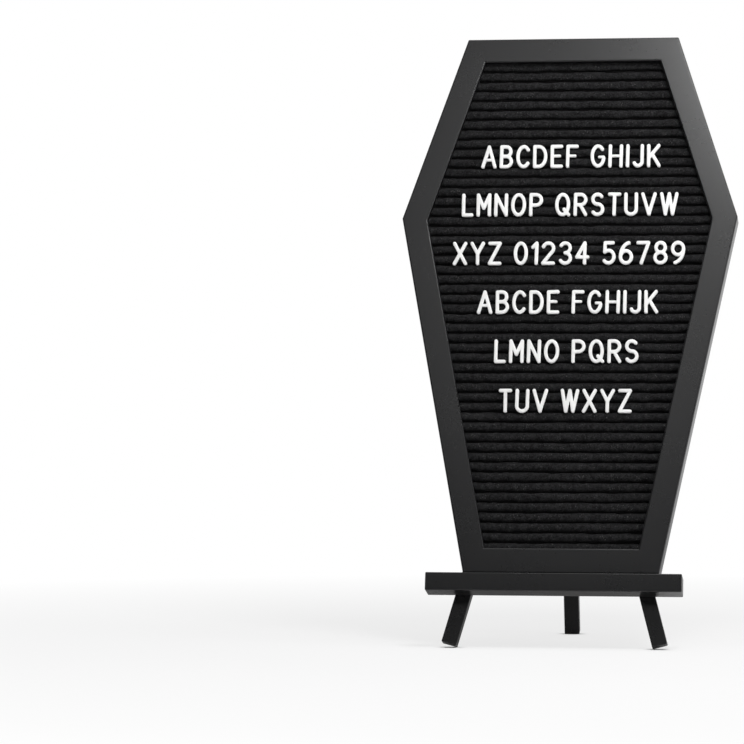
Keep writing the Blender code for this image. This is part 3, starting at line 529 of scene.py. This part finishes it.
# Each character: width, x of its upper and lower tab, middle lines of its strokes, and of its
# thin strokes. The unit is the height between the middle lines of a top and a bottom stroke.
CHARACTERS = {
    "A": (0.58, 0.29, 0.0, [line(0, 0, 0.29, 1), line(0.58, 0, 0.29, 1)],
          [line(0.1, 0.34, 0.48, 0.34)]),
    "B": (0.48, 0.0, 0.0, [line(0, 0, 0, 1),
                           [(0, 1)] + arc(0.23, 0.76, 0.21, 0.24, 90, -90) + [(0, 0.52)],
                           [(0, 0.52)] + arc(0.22, 0.26, 0.26, 0.26, 90, -90) + [(0, 0)]], []),
    "C": (0.50, 0.28, 0.28, [arc(0.28, 0.5, 0.28, 0.5, 42, 318)], []),
    "D": (0.53, 0.0, 0.0, [line(0, 0, 0, 1),
                           [(0, 1)] + arc(0.20, 0.5, 0.33, 0.5, 90, -90) + [(0, 0)]], []),
    "E": (0.44, 0.0, 0.0, [line(0, 0, 0, 1), line(0, 1, 0.44, 1), line(0, 0, 0.44, 0)],
          [line(0, 0.52, 0.37, 0.52)]),
    "F": (0.43, 0.0, 0.0, [line(0, 0, 0, 1), line(0, 1, 0.43, 1)], [line(0, 0.52, 0.35, 0.52)]),
    "G": (0.55, 0.28, 0.28, [arc(0.28, 0.5, 0.28, 0.5, 42, 347)], [line(0.34, 0.45, 0.55, 0.45)]),
    "H": (0.53, 0.0, 0.53, [line(0, 0, 0, 1), line(0.53, 0, 0.53, 1)],
          [line(0, 0.5, 0.53, 0.5)]),
    "I": (0.0, 0.0, 0.0, [line(0, 0, 0, 1)], []),
    "J": (0.38, 0.38, 0.19, [[(0.38, 1)] + arc(0.19, 0.21, 0.19, 0.21, 0, -160)], []),
    "K": (0.50, 0.0, 0.0, [line(0, 0, 0, 1), line(0.48, 1, 0.0, 0.38), line(0.16, 0.59, 0.5, 0)],
          []),
    "L": (0.40, 0.0, 0.2, [line(0, 0, 0, 1), line(0, 0, 0.4, 0)], []),
    "M": (0.54, 0.0, 0.54, [line(0, 0, 0, 1), line(0.54, 0, 0.54, 1), line(0, 1, 0.27, 0.35),
                            line(0.54, 1, 0.27, 0.35)], []),
    "N": (0.50, 0.0, 0.5, [line(0, 0, 0, 1), line(0.5, 0, 0.5, 1), line(0, 1, 0.5, 0)], []),
    "O": (0.56, 0.28, 0.28, [ring(0.28, 0.5, 0.28, 0.5)], []),
    "P": (0.50, 0.0, 0.0, [line(0, 0, 0, 1),
                           [(0, 1)] + arc(0.24, 0.74, 0.26, 0.26, 90, -90) + [(0, 0.48)]], []),
    "Q": (0.58, 0.28, 0.28, [ring(0.28, 0.5, 0.28, 0.5), line(0.36, 0.26, 0.58, 0)], []),
    "R": (0.50, 0.0, 0.0, [line(0, 0, 0, 1),
                           [(0, 1)] + arc(0.23, 0.74, 0.26, 0.26, 90, -90) + [(0, 0.48)],
                           line(0.23, 0.48, 0.5, 0)], []),
    "S": (0.50, 0.25, 0.25, [arc(0.25, 0.755, 0.23, 0.245, 35, 270)
                             + arc(0.25, 0.255, 0.25, 0.255, 90, -145)[1:]], []),
    "T": (0.48, 0.24, 0.24, [line(0, 1, 0.48, 1), line(0.24, 1, 0.24, 0)], []),
    "U": (0.50, 0.0, 0.25, [[(0, 1)] + arc(0.25, 0.25, 0.25, 0.25, 180, 360) + [(0.5, 1)]], []),
    "V": (0.58, 0.0, 0.29, [line(0, 1, 0.29, 0), line(0.58, 1, 0.29, 0)], []),
    "W": (0.72, 0.0, 0.19, [line(0, 1, 0.19, 0), line(0.36, 1, 0.19, 0), line(0.36, 1, 0.53, 0),
                            line(0.72, 1, 0.53, 0)], []),
    "X": (0.53, 0.0, 0.53, [line(0, 1, 0.53, 0), line(0.53, 1, 0, 0)], []),
    "Y": (0.54, 0.0, 0.27, [line(0, 1, 0.27, 0.48), line(0.54, 1, 0.27, 0.48),
                            line(0.27, 0.48, 0.27, 0)], []),
    "Z": (0.49, 0.24, 0.24, [line(0, 1, 0.49, 1), line(0.49, 1, 0, 0), line(0, 0, 0.49, 0)], []),
    "0": (0.52, 0.26, 0.26, [ring(0.26, 0.5, 0.26, 0.5)], []),
    "1": (0.18, 0.18, 0.18, [line(0.18, 0, 0.18, 1), line(0.18, 1, 0, 0.8)], []),
    "2": (0.50, 0.25, 0.25, [arc(0.25, 0.74, 0.25, 0.26, 160, -35) + [(0, 0)], line(0, 0, 0.5, 0)],
          []),
    "3": (0.50, 0.25, 0.25, [arc(0.25, 0.755, 0.23, 0.245, 150, -90),
                             arc(0.25, 0.255, 0.25, 0.255, 90, -150)], []),
    "4": (0.52, 0.37, 0.37, [line(0.37, 1, 0, 0.3), line(0, 0.3, 0.52, 0.3),
                             line(0.37, 1, 0.37, 0)], []),
    "5": (0.50, 0.26, 0.24, [line(0.08, 1, 0.45, 1), line(0.08, 1, 0.06, 0.55),
                             arc(0.24, 0.31, 0.26, 0.31, 130, -140)], []),
    "6": (0.52, 0.40, 0.26, [ring(0.26, 0.3, 0.26, 0.3), arc(0.46, 0.3, 0.46, 0.7, 98, 180)], []),
    "7": (0.50, 0.25, 0.16, [line(0, 1, 0.5, 1), line(0.5, 1, 0.16, 0)], []),
    "8": (0.52, 0.26, 0.26, [ring(0.26, 0.76, 0.22, 0.24), ring(0.26, 0.26, 0.26, 0.26)], []),
    "9": (0.52, 0.26, 0.12, [ring(0.26, 0.7, 0.26, 0.3), arc(0.06, 0.7, 0.46, 0.7, 0, -82)], []),
}


def stroke_levels():
    """(inset, y) from the back of a stroke to its front, with both arrises rounded."""
    angles = [math.pi / 2 * step / STROKE_ARRIS_STEPS for step in range(STROKE_ARRIS_STEPS + 1)]
    levels = [(LETTER_BACK_ROUND, 0.0), (0.0, -LETTER_BACK_ROUND)]
    levels += [(LETTER_ROUND - LETTER_ROUND * math.cos(a),
                -LETTER_DEPTH + LETTER_ROUND - LETTER_ROUND * math.sin(a)) for a in angles]
    return levels


def side_points(path, half, closed):
    """The path moved half to its left and half to its right."""
    left, right = [], []
    for i, point in enumerate(path):
        before = path[i - 1] if i or closed else point
        after = path[(i + 1) % len(path)] if i + 1 < len(path) or closed else point
        way = (after - before).normalized()
        across = Vector((-way.y, way.x)) * half
        left.append(point + across)
        right.append(point - across)
    return left, right


def round_end(middle, start, half):
    """Half a circle from the point start, clockwise round the middle."""
    first = math.atan2(start.y - middle.y, start.x - middle.x)
    angles = [first - math.pi * i / CAP_STEPS for i in range(1, CAP_STEPS)]
    return [middle + Vector((math.cos(a), math.sin(a))) * half for a in angles]


def join_loops(bm, loops, closed):
    rings = [[bm.verts.new((p.x, y, p.y)) for p in loop] for loop, y in loops]
    pairs = list(zip(rings, rings[1:])) + ([(rings[-1], rings[0])] if closed else [])
    for near, far in pairs:
        for i in range(len(near)):
            j = (i + 1) % len(near)
            bm.faces.new((near[i], near[j], far[j], far[i]))
    if not closed:
        bm.faces.new(rings[0])
        bm.faces.new(rings[-1])


def add_stroke(bm, path, half):
    """One stroke of a character, as a bar with round ends or as a closed ring."""
    if (path[0] - path[-1]).length < half / 1000:
        outer, inner = [], []
        for inset, y in stroke_levels():
            left, right = side_points(path[:-1], half - inset, True)
            outer.append((right, y))
            inner.append((left, y))
        join_loops(bm, outer + inner[::-1], True)
        return
    loops = []
    for inset, y in stroke_levels():
        left, right = side_points(path, half - inset, False)
        outline = left + round_end(path[-1], left[-1], half - inset)
        outline += right[::-1] + round_end(path[0], right[0], half - inset)
        loops.append((outline, y))
    join_loops(bm, loops, False)


def add_box(bm, low, high):
    made = bmesh.ops.create_cube(bm, size=1.0)["verts"]
    size = [h - l for l, h in zip(low, high)]
    middle = [(h + l) / 2 for l, h in zip(low, high)]
    bmesh.ops.scale(bm, vec=size, verts=made)
    bmesh.ops.translate(bm, vec=middle, verts=made)


def united(first, second, operation="UNION"):
    """The mesh of two meshes joined, or of the first without the second."""
    base = bpy.data.objects.new("base", first)
    other = bpy.data.objects.new("other", second)
    for piece in (base, other):
        bpy.context.scene.collection.objects.link(piece)
    change = base.modifiers.new("join", "BOOLEAN")
    change.object = other
    change.operation = operation
    change.solver = "EXACT"
    change.use_self = operation == "UNION"
    flat = base.modifiers.new("merge flat faces", "DECIMATE")
    flat.decimate_type = "DISSOLVE"
    flat.angle_limit = math.radians(0.5)
    graph = bpy.context.evaluated_depsgraph_get()
    mesh = bpy.data.meshes.new_from_object(base.evaluated_get(graph))
    for piece in (base, other):
        bpy.data.objects.remove(piece, do_unlink=True)
    return mesh


def character_mesh(character):
    """Strokes and the two tabs behind them, joined into one solid about its own middle."""
    width, upper_tab, lower_tab, strokes, thin_strokes = CHARACTERS[character]
    unit = LETTER_HEIGHT - LETTER_STROKE
    bm = bmesh.new()
    for group, thickness in ((strokes, LETTER_STROKE), (thin_strokes, THIN_STROKE)):
        for stroke in group:
            path = [Vector((x - width / 2, z - 0.5)) * unit for x, z in stroke]
            add_stroke(bm, path, thickness / 2)
    shape = mesh_from(character, bm)
    bm = bmesh.new()
    for x, side in ((upper_tab, 1), (lower_tab, -1)):
        middle = (x - width / 2) * unit
        height = side * GROOVE_PITCH
        add_box(bm, (middle - TAB_WIDTH / 2, -LETTER_DEPTH / 2, height - TAB_THICKNESS / 2),
                (middle + TAB_WIDTH / 2, SEAT_GAP + TAB_REACH, height + TAB_THICKNESS / 2))
    return united(shape, mesh_from(character + "_tabs", bm))


def advance(character):
    return CHARACTERS[character][0] * (LETTER_HEIGHT - LETTER_STROKE) + LETTER_STROKE


def row_places(text):
    """(character, x of its middle) along a row that is centred on the board."""
    places = []
    x = 0.0
    for character in text:
        if character == " ":
            x += WORD_GAP - LETTER_GAP
            continue
        places.append((character, x + advance(character) / 2))
        x += advance(character) + LETTER_GAP
    width = x - LETTER_GAP
    return [(character, middle - width / 2) for character, middle in places]


def make_characters(plastic):
    """Six rows. The first three stand for the parts' characters; the others are only here."""
    heights = groove_heights()
    tilts = np.random.default_rng(7)
    shapes = {}
    for row, text in enumerate(TEXT_ROWS):
        height = heights[GROOVES_ABOVE_TEXT + row * GROOVES_PER_ROW]
        for character, x in row_places(text):
            if character not in shapes:
                shapes[character] = character_mesh(character)
            node = ("digit_" if character.isdigit() else "letter_") + character
            tilt = Matrix.Rotation(tilts.uniform(-LETTER_TILT, LETTER_TILT), 4, "Y")
            spot = Matrix.Translation((x, FELT_FRONT - SEAT_GAP, height))
            nodes = [node] if row < ROWS_IN_PARTS else []
            finish_piece(f"{node}_row{row + 1}", shapes[character].copy(), plastic,
                         BODY, BOARD @ spot @ tilt, nodes)


def keep_side(bm, point, normal):
    """Cuts away what lies beyond the plane, on its normal's side, and closes the cut."""
    geometry = bm.verts[:] + bm.edges[:] + bm.faces[:]
    cut = bmesh.ops.bisect_plane(bm, geom=geometry, plane_co=point, plane_no=normal,
                                 clear_outer=True, dist=0.000001)
    edges = [item for item in cut["geom_cut"] if isinstance(item, bmesh.types.BMEdge)]
    bmesh.ops.contextual_create(bm, geom=edges)


SOFT_STEPS = 4


def soften(bm):
    """Rounds every edge of a piece of the stand."""
    bmesh.ops.bevel(bm, geom=bm.edges[:], offset=STAND_ROUND, offset_type="OFFSET",
                    segments=SOFT_STEPS, profile=0.5, affect="EDGES", clamp_overlap=True)


def make_front_leg(name, side, paint):
    """side is -1 for the left leg. Its foot is square to the leg."""
    corners = [(u * LEG_WIDTH / 2, v * LEG_DEPTH / 2) for u in (-1, 1) for v in (-1, 1)]
    r = STAND_ROUND
    rounded = [(u - math.copysign(r, u), v - math.copysign(r, v)) for u, v in corners]
    drop = r + max(u * math.sin(SPLAY) * math.cos(LEAN) + v * math.sin(LEAN) for u, v in rounded)
    drop -= r * math.cos(SPLAY) * math.cos(LEAN)
    foot_z = (drop + LEG_DEPTH / 2 * math.sin(LEAN)) / math.cos(LEAN)
    foot_x = LEG_SPREAD / 2 + (LEDGE_LIFT - foot_z) * math.tan(SPLAY)
    length = (STAND_HEIGHT - foot_z) / math.cos(SPLAY) + LEG_WIDTH
    bm = bmesh.new()
    add_box(bm, (-LEG_WIDTH / 2, -LEG_DEPTH / 2, 0), (LEG_WIDTH / 2, LEG_DEPTH / 2, length))
    bm.transform(Matrix.Translation((side * foot_x, LEG_DEPTH / 2, foot_z))
                 @ Matrix.Rotation(-side * SPLAY, 4, "Y"))
    keep_side(bm, (side * SEAT_GAP / 2, 0, 0), (-side, 0, 0))
    keep_side(bm, (0, 0, STAND_HEIGHT), (0, 0, 1))
    soften(bm)
    piece = finish_piece("stand_leg_" + name, mesh_from("stand_leg_" + name, bm), paint,
                         BODY, SLOPE, ["front_leg_" + name])
    even_shading(piece)


def make_ledge(paint):
    bm = bmesh.new()
    add_box(bm, (-LEDGE_LENGTH / 2, -SEAT_GAP - LEDGE_DEPTH, LEDGE_LIFT),
            (LEDGE_LENGTH / 2, -SEAT_GAP, LEDGE_LIFT + LEDGE_HEIGHT))
    soften(bm)
    piece = finish_piece("stand_ledge", mesh_from("stand_ledge", bm), paint, BODY,
                         SLOPE, ["ledge"])
    even_shading(piece)


def make_rear_leg(paint):
    """In the pivot's frame it runs down -Z; its bevelled top is the stop."""
    front = KNUCKLE_RADIUS + SEAT_GAP
    r = STAND_ROUND
    middle_y = front + LEG_DEPTH / 2
    drop = (LEG_DEPTH / 2 - r) * math.sin(REAR_LEAN) + r - r * math.cos(REAR_LEAN)
    pin_height = PIN.z * math.cos(LEAN) - PIN.y * math.sin(LEAN)
    length = (pin_height - drop + middle_y * math.sin(REAR_LEAN)) / math.cos(REAR_LEAN)
    bm = bmesh.new()
    add_box(bm, (-LEG_WIDTH / 2, front, -length), (LEG_WIDTH / 2, front + LEG_DEPTH, HINGE_DROP))
    close = Matrix.Rotation(-OPENING, 3, "X")
    keep_side(bm, close @ Vector((0, -KNUCKLE_RADIUS, 0)), close @ Vector((0, -1, 0)))
    soften(bm)
    piece = finish_piece("stand_rear_leg", mesh_from("stand_rear_leg", bm), paint,
                         LEG_BODY, PIVOT, ["rear_leg"])
    even_shading(piece)


def box_in(node, to_model):
    """(lowest corner, highest corner) of a CAD node in another frame."""
    back = to_model.inverted()
    points = np.array([back @ v.co for v in frame["nodes"][node].data.vertices])
    return Vector(points.min(axis=0)), Vector(points.max(axis=0))


SCREW_SIDES = 32
HEAD_TO_SHANK = 2.1
HEAD_DEPTH_TO_SHANK = 0.85
TIP_TO_SHANK = 1.5
DOME_STEPS = 6
HEAD_TURN = 0.4

# Shares of a screw head: its straight rim and the floor of its recess, of the head's depth, and
# half the length and half the width of a slot of the recess, of the head's radius
HEAD_RIM = 0.35
RECESS_FLOOR = 0.35
SLOT_REACH = 0.55
SLOT_HALF_WIDTH = 0.11


def turned(bm, profile, sides):
    """A solid of revolution about Z; the profile's first and last points are on the axis."""
    angles = [2 * math.pi * i / sides for i in range(sides)]
    rings = [[bm.verts.new((radius * math.cos(a), radius * math.sin(a), z)) for a in angles]
             for radius, z in profile[1:-1]]
    first = bm.verts.new((0, 0, profile[0][1]))
    last = bm.verts.new((0, 0, profile[-1][1]))
    for i in range(sides):
        j = (i + 1) % sides
        bm.faces.new((first, rings[0][i], rings[0][j]))
        bm.faces.new((last, rings[-1][j], rings[-1][i]))
        for upper, lower in zip(rings, rings[1:]):
            bm.faces.new((upper[i], lower[i], lower[j], upper[j]))


def make_screw(node, side, body, to_model, steel, recess=True):
    """A domed head on a shank, in place of a CAD screw. side is 1 where the head is at +Y."""
    low, high = box_in(node, to_model)
    head_radius = (high.x - low.x) / 2
    shank = head_radius / HEAD_TO_SHANK
    depth = shank * HEAD_DEPTH_TO_SHANK
    length = (high.y - low.y) - depth
    dome = [(head_radius * math.cos(a), depth * (HEAD_RIM + (1 - HEAD_RIM) * math.sin(a)))
            for a in (math.pi / 2 * step / DOME_STEPS for step in range(DOME_STEPS))]
    profile = [(0, depth)] + dome[::-1]
    profile += [(head_radius, 0), (shank, 0), (shank, shank * TIP_TO_SHANK - length), (0, -length)]
    bm = bmesh.new()
    turned(bm, profile, SCREW_SIDES)
    mesh = mesh_from(node, bm)
    if recess:
        bm = bmesh.new()
        reach, half = head_radius * SLOT_REACH, head_radius * SLOT_HALF_WIDTH
        deep = depth * RECESS_FLOOR
        add_box(bm, (-reach, -half, deep), (reach, half, depth * 2))
        cross = mesh_from("slot", bm)
        bm = bmesh.new()
        add_box(bm, (-half, -reach, deep), (half, reach, depth * 2))
        mesh = united(mesh, cross, "DIFFERENCE")
        mesh = united(mesh, mesh_from("slot", bm), "DIFFERENCE")
    seat = high.y - depth if side > 0 else low.y + depth
    spot = Matrix.Translation(((low.x + high.x) / 2, seat, (low.z + high.z) / 2))
    turn = Matrix.Rotation(-side * math.pi / 2, 4, "X") @ Matrix.Rotation(HEAD_TURN, 4, "Z")
    finish_piece(node + "_head_and_shank", mesh, steel, body,
                 to_model @ spot @ turn, [node])


def make_fasteners(steel):
    for end in ("left", "right"):
        make_screw("ledge_screw_" + end, 1, BODY, SLOPE, steel)
        make_screw("front_leaf_screw_" + end, 1, BODY, SLOPE, steel)
        make_screw("hanger_nail_" + end, 1, BODY, SLOPE, steel, recess=False)
    for end in ("upper", "lower"):
        make_screw("rear_leaf_screw_" + end, -1, LEG_BODY, PIVOT, steel)


def dress_nodes(card, steel):
    """Materials of the CAD nodes that are shown as they are."""
    finishes = {"backing_board": card, "sawtooth_hanger": steel, "hinge_leaf_front": steel,
                "hinge_leaf_rear": steel, "hinge_pin": steel}
    for name, surface in finishes.items():
        node = frame["nodes"][name]
        node.data.materials.clear()
        node.data.materials.append(surface)


FLOOR_SIZE = 12.0
FADE_START = 0.3
FADE_END = 0.95
FLOOR_GLOW = 0.75
CONTACT_REACH = 9 * MM
CONTACT_DARK = 0.4
CONTACT_CLEAR = 0.95
CONTACT_RAYS = 16


def make_floor():
    """A pale floor that keeps the shadow near the object and fades to the white backdrop.

    Its glow gives way to the shadow where something stands on it.
    """
    bm = bmesh.new()
    bmesh.ops.create_grid(bm, x_segments=1, y_segments=1, size=FLOOR_SIZE / 2)
    floor = bpy.data.objects.new("floor", mesh_from("floor", bm))
    bpy.context.scene.collection.objects.link(floor)
    surface = Surface("pale_floor", Roughness=0.9, Specular_IOR_Level=0.1)
    clouds = surface.noise(0.35, 3)
    surface.color(surface.tones(clouds, (0.3, (0.925, 0.925, 0.93)), (0.7, (0.935, 0.935, 0.94))))
    length = surface.node("ShaderNodeVectorMath", operation="LENGTH")
    surface.put(length.inputs[0], surface.coordinates)
    distance = length.outputs["Value"]
    path = surface.node("ShaderNodeLightPath").outputs
    seen = surface.calculate("MAXIMUM", path["Is Camera Ray"], path["Is Transmission Ray"])
    near = surface.node("ShaderNodeAmbientOcclusion", samples=CONTACT_RAYS)
    near.inputs["Distance"].default_value = CONTACT_REACH
    clear = surface.spread(near.outputs["AO"], CONTACT_DARK, CONTACT_CLEAR)
    glow = surface.spread(distance, FADE_START, FADE_END, FLOOR_GLOW, 1.0)
    direct = surface.calculate("MULTIPLY", seen, surface.calculate("MULTIPLY", glow, clear))
    mirrored = surface.calculate(
        "MULTIPLY", path["Is Glossy Ray"], surface.spread(distance, 2 * FADE_START, 2 * FADE_END))
    white = surface.node("ShaderNodeEmission")
    mix = surface.node("ShaderNodeMixShader")
    surface.put(mix.inputs[0], surface.calculate("ADD", direct, mirrored))
    surface.put(mix.inputs[1], surface.shader.outputs["BSDF"])
    surface.put(mix.inputs[2], white.outputs[0])
    surface.put(surface.tree.nodes["Material Output"].inputs["Surface"], mix.outputs[0])
    floor.data.materials.append(surface.material)


AMBIENT = 0.2
STUDIO_IN_FRONT = 0.03
BACKDROP_STARTS = -0.5
BACKDROP_IS_FULL = 0.35


def make_world():
    """White behind the object; the dimmer studio stands in front, where the camera is."""
    world = bpy.data.worlds.new("studio")
    bpy.context.scene.world = world
    world.use_nodes = True
    tree = world.node_tree
    background = tree.nodes["Background"]

    def math_node(operation, first, second):
        made = tree.nodes.new("ShaderNodeMath")
        made.operation = operation
        for socket, value in zip(made.inputs, (first, second)):
            if isinstance(value, bpy.types.NodeSocket):
                tree.links.new(value, socket)
            else:
                socket.default_value = value
        return made.outputs[0]

    def between(share, first, second):
        """first where share is 0, second where it is 1."""
        part = math_node("MULTIPLY", share, math_node("SUBTRACT", second, first))
        return math_node("ADD", part, first)

    path = tree.nodes.new("ShaderNodeLightPath").outputs
    direction = tree.nodes.new("ShaderNodeSeparateXYZ")
    tree.links.new(tree.nodes.new("ShaderNodeTexCoord").outputs["Generated"], direction.inputs[0])
    behind = tree.nodes.new("ShaderNodeMapRange")
    behind.interpolation_type = "SMOOTHSTEP"
    tree.links.new(direction.outputs["Y"], behind.inputs["Value"])
    behind.inputs["From Min"].default_value = BACKDROP_STARTS
    behind.inputs["From Max"].default_value = BACKDROP_IS_FULL
    reflected = between(behind.outputs["Result"], STUDIO_IN_FRONT, 1.0)
    seen = math_node("MAXIMUM", path["Is Camera Ray"], path["Is Transmission Ray"])
    level = between(path["Is Glossy Ray"], AMBIENT, reflected)
    tree.links.new(between(seen, level, 1.0), background.inputs["Strength"])
    background.inputs["Color"].default_value = (1.0, 1.0, 1.0, 1.0)


# Soft rectangular lamps: (place, point that it faces, width, height, how bright its face is,
# where 1 is white)
LAMPS = {
    "key": ((0.2245, -0.5035, 0.897), (0.0445, -0.01, 0.3), 0.25, 0.25, 20.0),
    "fill": ((-0.2295, -2.58, 1.971), (-0.0055, -0.01, 0.3), 0.8, 0.8, 2.0),
    "top": ((0.3, -0.3, 2.2), (0.0, 0.0, 0.0), 1.6, 1.6, 1.5),
    "side": ((2.2, -0.9, 0.7), (0.0, 0.0, 0.25), 1.0, 1.4, 3.0),
}


def make_lamp(name, location, target, width, height, radiance):
    light = bpy.data.lights.new(name, "AREA")
    light.shape = "RECTANGLE"
    light.size = width
    light.size_y = height
    light.energy = radiance * math.pi * width * height
    lamp = bpy.data.objects.new(name, light)
    bpy.context.scene.collection.objects.link(lamp)
    lamp.location = location
    lamp.rotation_euler = (Vector(target) - Vector(location)).to_track_quat("-Z", "Y").to_euler()


CAMERA_FROM_STAND = Vector((0.25874, -2.80213, 0.21359))
CAMERA_PITCH = math.radians(90 - 0.047)
CAMERA_YAW = math.radians(8.096)
SENSOR_WIDTH = 36.0
FOCAL_LENGTH = 178.38


def make_camera():
    """The photo's viewpoint: nearly level, a little to the right of the board."""
    data = bpy.data.cameras.new("camera")
    data.sensor_width = SENSOR_WIDTH
    data.lens = FOCAL_LENGTH
    data.clip_start = 0.05
    data.clip_end = 50.0
    camera = bpy.data.objects.new("camera", data)
    bpy.context.scene.collection.objects.link(camera)
    camera.location = SLOPE.translation + CAMERA_FROM_STAND
    camera.rotation_euler = (CAMERA_PITCH, 0.0, CAMERA_YAW)
    bpy.context.scene.camera = camera


def main():
    bpy.context.scene.view_settings.view_transform = "Standard"
    paint = make_paint()
    steel = make_steel()
    make_board_frame(paint)
    make_felt_insert(make_felt())
    make_characters(make_plastic())
    for side, name in ((-1, "left"), (1, "right")):
        make_front_leg(name, side, paint)
    make_ledge(paint)
    make_rear_leg(paint)
    make_fasteners(steel)
    dress_nodes(make_fibreboard(), steel)
    make_floor()
    make_world()
    for name, settings in LAMPS.items():
        make_lamp(name, *settings)
    make_camera()


main()
